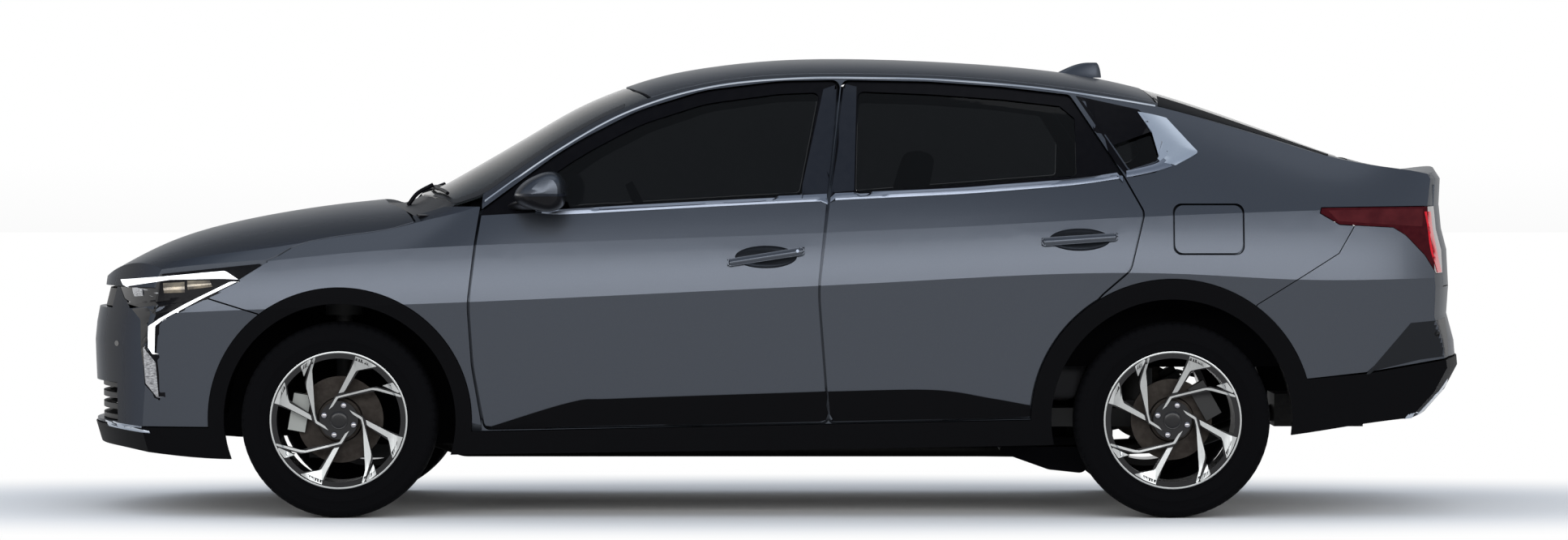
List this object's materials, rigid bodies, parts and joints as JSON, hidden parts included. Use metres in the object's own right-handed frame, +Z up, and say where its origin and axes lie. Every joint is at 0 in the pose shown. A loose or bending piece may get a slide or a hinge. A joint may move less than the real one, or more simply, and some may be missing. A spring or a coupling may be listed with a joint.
{
  "type": "compact sedan",
  "caption": "Compact sedan with opening doors, hood, trunk lid and fuel flap, steered front wheels and turning wheels.",
  "frame": {"origin": "on the ground under the middle of the car", "axes": "+X forward along the car, +Y to the car's left, +Z up"},
  "size_m": [4.5543, 2.033, 1.4943],
  "materials": {
    "paint": "metallic gloss",
    "glass": "dark tint",
    "cladding": "grained matte",
    "black_gloss": "gloss",
    "lamp_clear": "clear lens",
    "lamp_red": "dark red lens",
    "tyre": "matte",
    "alloy": "machined",
    "iron": "raw",
    "underbody": "matte",
    "interior": "matte",
    "seat": "woven",
    "steel": "satin"
  },
  "bodies": {
    "body": {"front_fender_left": "paint", "side_frame_left": "paint", "front_fender_right": "paint", "side_frame_right": "paint", "quarter_windows": "glass", "headlights": "lamp_clear", "front_bumper": "paint", "grille": "black_gloss", "cowl_panel": "cladding", "tail_lights": "lamp_red", "rear_bumper": "paint", "roof_panel": "paint", "windshield": "glass", "rear_window": "glass", "lower_cladding": "cladding", "rear_axle": "iron", "front_suspension": "iron", "floor_pan": "underbody", "dashboard": "interior", "front_seats": "seat", "rear_seat": "seat", "engine": "iron", "fuel_tank": "cladding", "exhaust": "steel", "roof_fin": "paint"},
    "front_door_body_left": {"front_door_left": "paint", "front_door_glass_left": "glass", "mirror_left": "paint"},
    "rear_door_body_left": {"rear_door_left": "paint", "rear_door_glass_left": "glass"},
    "upright_left": {"knuckle_front_left": "iron"},
    "front_wheel_left": {"tyre_front_left": "tyre", "wheel_front_left": "alloy"},
    "rear_wheel_left": {"tyre_rear_left": "tyre", "wheel_rear_left": "alloy"},
    "front_door_body_right": {"front_door_right": "paint", "front_door_glass_right": "glass", "mirror_right": "paint"},
    "rear_door_body_right": {"rear_door_right": "paint", "rear_door_glass_right": "glass"},
    "upright_right": {"knuckle_front_right": "iron"},
    "front_wheel_right": {"tyre_front_right": "tyre", "wheel_front_right": "alloy"},
    "rear_wheel_right": {"tyre_rear_right": "tyre", "wheel_rear_right": "alloy"},
    "hood_body": {"hood": "paint"},
    "trunk_body": {"trunk_lid": "paint"},
    "flap_body": {"fuel_flap": "paint"},
    "steering": {"steering_wheel": "interior"}
  },
  "joints": [
    {"name": "front_door_hinge_left", "type": "hinge", "parent": "body", "child": "front_door_body_left", "pos_m": [0.972, 0.88, 0.7], "axis": [0, 0, -1], "range_deg": [0, 65]},
    {"name": "rear_door_hinge_left", "type": "hinge", "parent": "body", "child": "rear_door_body_left", "pos_m": [-0.16, 0.88, 0.7], "axis": [0, 0, -1], "range_deg": [0, 65]},
    {"name": "front_door_hinge_right", "type": "hinge", "parent": "body", "child": "front_door_body_right", "pos_m": [0.972, -0.88, 0.7], "axis": [0, 0, 1], "range_deg": [0, 65]},
    {"name": "rear_door_hinge_right", "type": "hinge", "parent": "body", "child": "rear_door_body_right", "pos_m": [-0.16, -0.88, 0.7], "axis": [0, 0, 1], "range_deg": [0, 65]},
    {"name": "steer_left", "type": "hinge", "parent": "body", "child": "upright_left", "pos_m": [1.404, 0.772, 0.316], "axis": [0, 0, 1], "range_deg": [-35, 35]},
    {"name": "steer_right", "type": "hinge", "parent": "body", "child": "upright_right", "pos_m": [1.404, -0.772, 0.316], "axis": [0, 0, 1], "range_deg": [-35, 35]},
    {"name": "front_wheel_spin_left", "type": "hinge", "parent": "upright_left", "child": "front_wheel_left", "pos_m": [1.404, 0.772, 0.316], "axis": [0, 1, 0], "continuous": true},
    {"name": "rear_wheel_spin_left", "type": "hinge", "parent": "body", "child": "rear_wheel_left", "pos_m": [-1.286, 0.772, 0.316], "axis": [0, 1, 0], "continuous": true},
    {"name": "front_wheel_spin_right", "type": "hinge", "parent": "upright_right", "child": "front_wheel_right", "pos_m": [1.404, -0.772, 0.316], "axis": [0, 1, 0], "continuous": true},
    {"name": "rear_wheel_spin_right", "type": "hinge", "parent": "body", "child": "rear_wheel_right", "pos_m": [-1.286, -0.772, 0.316], "axis": [0, 1, 0], "continuous": true},
    {"name": "hood_hinge", "type": "hinge", "parent": "body", "child": "hood_body", "pos_m": [1.166, 0, 0.962], "axis": [0, -1, 0], "range_deg": [0, 50]},
    {"name": "trunk_hinge", "type": "hinge", "parent": "body", "child": "trunk_body", "pos_m": [-1.884, 0, 1.14], "axis": [0, 1, 0], "range_deg": [0, 75]},
    {"name": "fuel_flap_hinge", "type": "hinge", "parent": "body", "child": "flap_body", "pos_m": [-1.252, 0.846, 0.932], "axis": [0, 0.2599, -0.9656], "range_deg": [0, 80]},
    {"name": "steering_wheel_turn", "type": "hinge", "parent": "body", "child": "steering", "pos_m": [0.41, 0.38, 0.905], "axis": [-0.9, 0, 0.436], "range_deg": [-500, 500]}
  ],
  "couplings": [
    {"joint": "steer_right", "follows": "steer_left", "ratio": 1},
    {"joint": "steering_wheel_turn", "follows": "steer_left", "ratio": 14}
  ]
}
